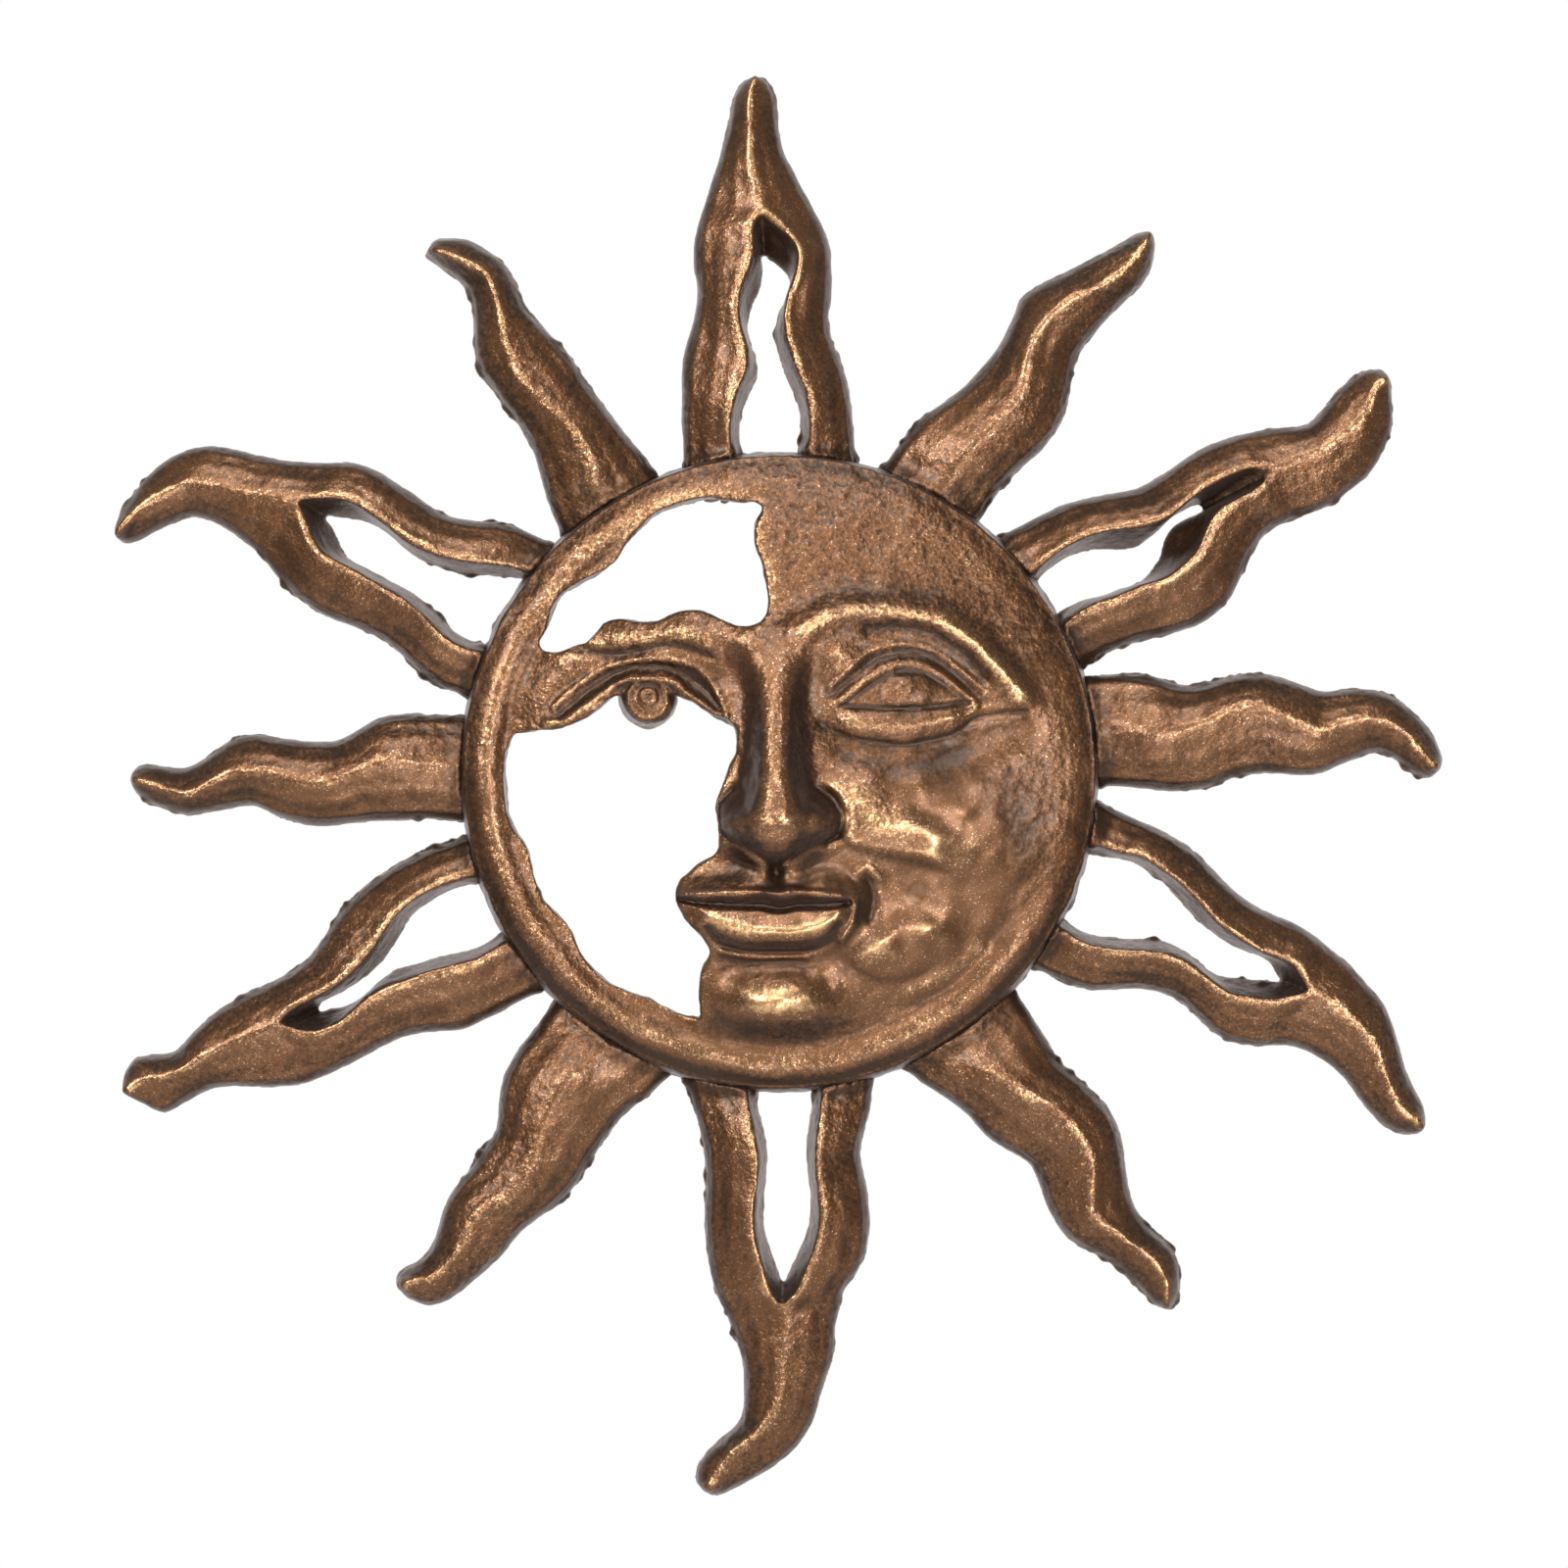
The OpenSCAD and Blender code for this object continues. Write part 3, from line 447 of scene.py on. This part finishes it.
def sharpen_crest(points, normals, edges):
    """Draws the crest of a ray up into a crisper line."""
    facing = ramp(-neighbours_mean(normals, edges, 10)[:, 1], 0.55, 0.35)
    push = CREST_SHARPENING * facing * proud(points, normals, edges, CREST_ROUNDS)
    points += normals * push[:, None]


def pebble_share(points, centre):
    """How pebbled the skin is, from 0 on the smooth cheek to 1 on the forehead."""
    flat = in_plane(points, centre)
    share, cell, seed = PEBBLED_PATCHES
    patches = 0.55 + share * lattice_noise(points / MM, cell, seed)
    forehead = above(flat[:, 1], FOREHEAD_Z, 4) * above(DISC_R, distance_to(flat), 1)
    return np.clip(patches + 0.5 * forehead - 0.6 * oval(flat, *CHEEK), 0, 1)


def roughen(points, normals, centre, seed):
    """Gives the skin of sand casting: dents, pebbles and a ragged fin along the back edge."""
    mm = points / MM

    def noise(kind):
        height, cell, number = kind
        return height * lattice_noise(mm, cell, seed + number)

    flat = in_plane(points, centre)
    radius = distance_to(flat)
    depth = -mm[:, 1]
    sides = side_share(normals, 1.4, 2.0)
    pebbled = pebble_share(points, centre)
    dents = noise(LUMPS) + noise(SMALL_LUMPS) + noise(PEBBLES) * pebbled
    dents += (noise(HAMMERED) + noise(SMALL_HAMMERED)) * (1 - pebbled)
    ragged = noise(RAGGED) + noise(SMALL_RAGGED)
    fin = np.clip(noise(FIN_PATCHES) - 0.1, 0, 1) * np.clip(ragged + 0.1, 0, 1.2)
    fin *= bell(depth - FIN_AT[0], FIN_AT[1]) * sides
    beads = np.clip(noise(BEAD_SPOTS) + 0.45, 0, 1)
    beads *= bell(radius - BEADS_AT[0], BEADS_AT[1]) * sides
    broken = (noise(BROKEN) + 0.4 * ragged) * above(OPENINGS_R, radius, 1) * sides
    outward = np.clip((flat * normals[:, [0, 2]]).sum(axis=1) / radius, 0, 1)
    disc_side = above(SIDE_OUTER_R, radius, 0.3) * above(radius, SIDE_INNER_R, 0.3)
    draft = disc_side * outward * (1 - ramp(depth, 0, DRAFT_DEPTH))
    push = dents * np.clip(1 - normals[:, 1], 0, 1)
    push += FIN * fin + BEADS * beads + DRAFT * draft + BROKEN_EDGE * broken
    points += normals * (push * MM)[:, None]
    points[:, 1] = np.minimum(points[:, 1], 0)


def finish_marks(mesh, points, edges, centre):
    """Stores where the metal is rubbed or has painted highlights and shade, how level with the wall it
    lies (painted lighter there), how pebbled it is, and where it is an upright side.
    """
    normals = read(mesh.vertices, "normal", 3)
    flat = in_plane(points, centre)
    rub_and_painted_light = np.zeros(len(points))
    for rounds, full, share in RUBBED_BUMPS:
        rub_and_painted_light += share * np.clip(proud(points, normals, edges, rounds) / MM / full, -1, 1)
    # Painted highlights and painted shade on the face
    for amount, width, path in PAINTED_HIGHLIGHT_AND_SHADE:
        rub_and_painted_light += amount * bell(path_distance(flat, path), width)
    for x, z, width, amount in DULL_EYES:
        rub_and_painted_light -= amount * bell(distance_to(flat, x, z), width)
    radius, width, amount = ROOT_HOLLOW
    rub_and_painted_light -= amount * bell(distance_to(flat) - radius, width)
    # Painted light: metal facing the front is painted lighter, and sloping metal darker
    facing = -neighbours_mean(normals, edges, 8)[:, 1]
    add_attribute(mesh, "rub_and_painted_light", rub_and_painted_light)
    add_attribute(mesh, "painted_facing_light", np.clip(facing, 0, 1) + BACK_PAINTED_LIGHT * np.clip(-facing, 0, 1))
    add_attribute(mesh, "wall", side_share(normals, 1.25, 1.9))
    add_attribute(mesh, "pebble", pebble_share(points, centre))


def casting(node, voxel, smoothing, seed, material, centre):
    """Stands in for one CAD casting."""
    piece = remeshed(node, "cast_" + node, voxel, smoothing)
    mesh = piece.data
    points = read(mesh.vertices, "co", 3)
    normals = read(mesh.vertices, "normal", 3)
    edges = read(mesh.edges, "vertices", 2).astype(int)
    if node == "face_disc":
        roll_rim(points, normals, edges, centre)
        write_points(mesh, points)
        normals = read(mesh.vertices, "normal", 3)
        cut_face(points, normals, centre)
    else:
        sharpen_crest(points, normals, edges)
    write_points(mesh, points)
    normals = read(mesh.vertices, "normal", 3)
    roughen(points, normals, centre, seed)
    write_points(mesh, points)
    finish_marks(mesh, points, edges, centre)
    mesh.materials.clear()
    mesh.materials.append(material)
    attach(piece, "root")
    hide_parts(node)


# ---- Materials -----------------------------------------------------------------
class Shader:
    """A small helper that adds and links nodes in one material."""

    def __init__(self, name):
        self.material = bpy.data.materials.new(name)
        self.material.use_nodes = True
        self.tree = self.material.node_tree
        self.surface = self.tree.nodes["Principled BSDF"]

    def node(self, kind, **settings):
        node = self.tree.nodes.new(kind)
        for key, value in settings.items():
            setattr(node, key, value)
        return node

    def set(self, socket, value):
        if isinstance(value, bpy.types.NodeSocket):
            self.tree.links.new(value, socket)
        else:
            socket.default_value = value

    def attribute(self, name):
        return self.node("ShaderNodeAttribute", attribute_name=name).outputs["Fac"]

    def noise(self, scale, detail=2.0, roughness=0.5):
        node = self.node("ShaderNodeTexNoise")
        place = self.node("ShaderNodeTexCoord")
        self.set(node.inputs["Vector"], place.outputs["Object"])
        node.inputs["Scale"].default_value = scale
        node.inputs["Detail"].default_value = detail
        node.inputs["Roughness"].default_value = roughness
        return node.outputs["Fac"]

    def math(self, operation, a, b=0.0, clamp=False):
        node = self.node("ShaderNodeMath", operation=operation, use_clamp=clamp)
        self.set(node.inputs[0], a)
        self.set(node.inputs[1], b)
        return node.outputs[0]

    def about(self, value, middle, weight):
        """How far the value is from its middle, times a weight."""
        return self.math("MULTIPLY", self.math("SUBTRACT", value, middle), weight)

    def span(self, value, low, high, out_low=0.0, out_high=1.0):
        """The value eased from one range to another."""
        node = self.node("ShaderNodeMapRange", interpolation_type="SMOOTHSTEP")
        for socket, number in zip(node.inputs, (value, low, high, out_low, out_high)):
            self.set(socket, number)
        return node.outputs[0]

    def mix(self, share, a, b):
        node = self.node("ShaderNodeMix", data_type="RGBA")
        self.set(node.inputs[0], share)
        self.set(node.inputs[6], a)
        self.set(node.inputs[7], b)
        return node.outputs[2]

    def bump(self, height, distance, strength=1.0, normal=None):
        node = self.node("ShaderNodeBump")
        node.inputs["Distance"].default_value = distance
        self.set(node.inputs["Strength"], strength)
        self.set(node.inputs["Height"], height)
        if normal is not None:
            self.set(node.inputs["Normal"], normal)
        return node.outputs[0]


# Colours
DARK_BRONZE = (0.042, 0.019, 0.008, 1)
BRONZE = (0.142, 0.061, 0.024, 1)
GOLD = (0.54, 0.31, 0.145, 1)
# Painted reflection of the white surroundings on the upright sides
WALL_REFLECTION_GREY = (0.30, 0.23, 0.21, 1)
SPECKLE = (0.86, 0.68, 0.48, 1)
DULL_ZINC = (0.42, 0.42, 0.41, 1)
BRIGHT_ZINC = (0.62, 0.62, 0.60, 1)
# Scale of each noise in the bronze, in cells per metre
CLOUDS = 55.0
DIMPLES = 240.0
GRAIN = 850.0
DUST = 2000.0


def bronze():
    """Dark brown patina, rubbed to gold on the crests, with a pebbled skin; painted lighter where it faces
    the front, with painted highlights, shade and grey reflections on its sides.
    """
    s = Shader("bronze_patina")
    # rubbed wear together with painted highlights and painted shade
    rub_and_painted_light = s.attribute("rub_and_painted_light")
    wall = s.attribute("wall")
    painted_facing_light = s.attribute("painted_facing_light")
    pebble = s.attribute("pebble")
    clouds = s.noise(CLOUDS, 3.0)
    grain = s.noise(GRAIN, 3.0, 0.6)
    dust = s.noise(DUST, 2.0, 0.7)
    # About 0 on plain patina, less in hollows and painted shade, and about 1 where it is rubbed to gold or
    # painted as a highlight
    wear_and_painted_light = s.math("MULTIPLY", rub_and_painted_light, 0.9)
    # painted light: lighter where the surface faces the front, darker on slopes
    wear_and_painted_light = s.math("ADD", wear_and_painted_light, s.about(painted_facing_light, 0.90, 2.6))
    wear_and_painted_light = s.math("ADD", wear_and_painted_light, s.about(clouds, 0.5, 0.7))
    wear_and_painted_light = s.math("ADD", wear_and_painted_light, s.about(grain, 0.5, s.span(pebble, 0.0, 1.0, 0.7, 2.2)))
    colour = s.mix(s.span(wear_and_painted_light, -0.6, 0.3), DARK_BRONZE, BRONZE)
    colour = s.mix(s.span(wear_and_painted_light, 0.38, 1.25), colour, GOLD)
    speck = s.math("MULTIPLY", s.span(dust, 0.60, 0.70), s.span(wear_and_painted_light, -0.2, 0.7, 0.05, 0.85), True)
    colour = s.mix(speck, colour, SPECKLE)
    # Painted reflection: the upright sides are painted grey, as if the white surroundings showed in them
    edge = s.math("MULTIPLY", wall, s.span(grain, 0.3, 0.6, 0.45, 0.9), True)
    colour = s.mix(edge, colour, WALL_REFLECTION_GREY)
    s.set(s.surface.inputs["Base Color"], colour)
    s.surface.inputs["Metallic"].default_value = 0.9
    s.surface.inputs["Coat Weight"].default_value = 0.30
    s.surface.inputs["Coat Roughness"].default_value = 0.28
    s.set(s.surface.inputs["Roughness"], s.span(wear_and_painted_light, -0.6, 1.0, 0.45, 0.28))
    pebbles = s.bump(s.noise(GRAIN), 0.4 * MM, s.span(pebble, 0.0, 1.0, 0.10, 0.95))
    dimples = s.bump(s.noise(DIMPLES), 0.8 * MM, s.span(pebble, 0.0, 1.0, 0.08, 0.40), pebbles)
    s.set(s.surface.inputs["Normal"], dimples)
    return s.material


def plated_steel():
    """Satin zinc plating with faint blotches and a fine grain."""
    s = Shader("plated_steel")
    blotch = s.noise(180.0, 4.0, 0.6)
    s.set(s.surface.inputs["Base Color"], s.mix(blotch, DULL_ZINC, BRIGHT_ZINC))
    s.surface.inputs["Metallic"].default_value = 1.0
    s.set(s.surface.inputs["Roughness"], s.span(s.noise(900.0, 3.0), 0.3, 0.7, 0.28, 0.46))
    s.set(s.surface.inputs["Normal"], s.bump(s.noise(1500.0), 0.1 * MM, 0.3))
    return s.material


def studio_white():
    """Matt white with a faint mottle."""
    s = Shader("studio_white")
    tone = s.mix(s.noise(3.0, 1.0), (0.90, 0.90, 0.90, 1), (0.92, 0.92, 0.92, 1))
    s.set(s.surface.inputs["Base Color"], tone)
    s.surface.inputs["Roughness"].default_value = 0.9
    return s.material


# ---- Studio --------------------------------------------------------------------
def studio(low):
    """A small pale floor under the plaque, and white surroundings that are dimmer in front of it."""
    bpy.ops.mesh.primitive_plane_add(size=FLOOR_SIZE, location=(0, 0, low - FLOOR_GAP))
    floor = bpy.context.object
    floor.name = "studio_floor"
    floor.data.materials.append(studio_white())
    world = bpy.data.worlds.new("studio")
    world.use_nodes = True
    tree = world.node_tree
    place = tree.nodes.new("ShaderNodeTexCoord")
    split = tree.nodes.new("ShaderNodeSeparateXYZ")
    fade = tree.nodes.new("ShaderNodeMapRange")
    tree.links.new(place.outputs["Generated"], split.inputs[0])
    tree.links.new(split.outputs["Y"], fade.inputs["Value"])
    fade.inputs["From Min"].default_value = FADE_FROM_Y
    fade.inputs["From Max"].default_value = FADE_TO_Y
    fade.inputs["To Min"].default_value = FRONT_LIGHT
    fade.inputs["To Max"].default_value = BACK_LIGHT
    tree.links.new(fade.outputs["Result"], tree.nodes["Background"].inputs["Strength"])
    tree.nodes["Background"].inputs["Color"].default_value = (1, 1, 1, 1)
    bpy.context.scene.world = world


def softbox(name, place, target, size, power):
    """A round lamp that faces the target."""
    lamp = bpy.data.lights.new(name, "AREA")
    lamp.shape = "DISK"
    lamp.size = size
    lamp.energy = power
    holder = bpy.data.objects.new(name, lamp)
    bpy.context.scene.collection.objects.link(holder)
    holder.location = place
    way = np.array(target) - np.array(place)
    tilt = math.atan2(math.hypot(way[0], way[1]), -way[2])
    holder.rotation_euler = (tilt, 0, math.atan2(-way[0], way[1]))


def camera(centre, distance, frame_width):
    """Looks straight at the face, so that frame_width fills the picture at the wall plane."""
    lens = bpy.data.cameras.new("camera")
    lens.sensor_width = SENSOR_WIDTH
    lens.lens = SENSOR_WIDTH * distance / frame_width
    holder = bpy.data.objects.new("camera", lens)
    bpy.context.scene.collection.objects.link(holder)
    holder.location = (centre[0], -distance, centre[1])
    holder.rotation_euler = (math.pi / 2, 0, 0)
    bpy.context.scene.camera = holder


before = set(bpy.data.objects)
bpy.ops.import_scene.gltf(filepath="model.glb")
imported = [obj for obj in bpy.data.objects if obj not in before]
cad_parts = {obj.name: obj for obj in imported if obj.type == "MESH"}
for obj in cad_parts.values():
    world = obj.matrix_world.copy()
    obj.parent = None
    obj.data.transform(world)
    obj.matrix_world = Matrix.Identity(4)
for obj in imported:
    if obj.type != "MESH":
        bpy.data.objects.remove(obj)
cad_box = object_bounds()
bpy.context.scene.view_settings.view_transform = "Standard"

disc_low, disc_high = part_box("face_disc")
disc_centre = np.array([(disc_low[0] + disc_high[0]) / 2, (disc_low[2] + disc_high[2]) / 2])

bronze_patina = bronze()
casting("face_disc", DISC_VOXEL, DISC_SOFTENING, DISC_SEED, bronze_patina, disc_centre)
for number, ray in enumerate(RAYS):
    seed = FIRST_RAY_SEED + SEED_STEP * number
    casting(ray, RAY_VOXEL, RAY_SOFTENING, seed, bronze_patina, disc_centre)

steel = plated_steel()
for node in STEEL_NODES:
    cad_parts[node].data.materials.clear()
    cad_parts[node].data.materials.append(steel)

studio(cad_box[0][2])
camera(disc_centre + VIEW_MIDDLE, CAMERA_DISTANCE, FRAME_WIDTH)
for name, place, size, power in SOFTBOXES:
    softbox(name, place, (disc_centre[0], 0, disc_centre[1]), size, power)
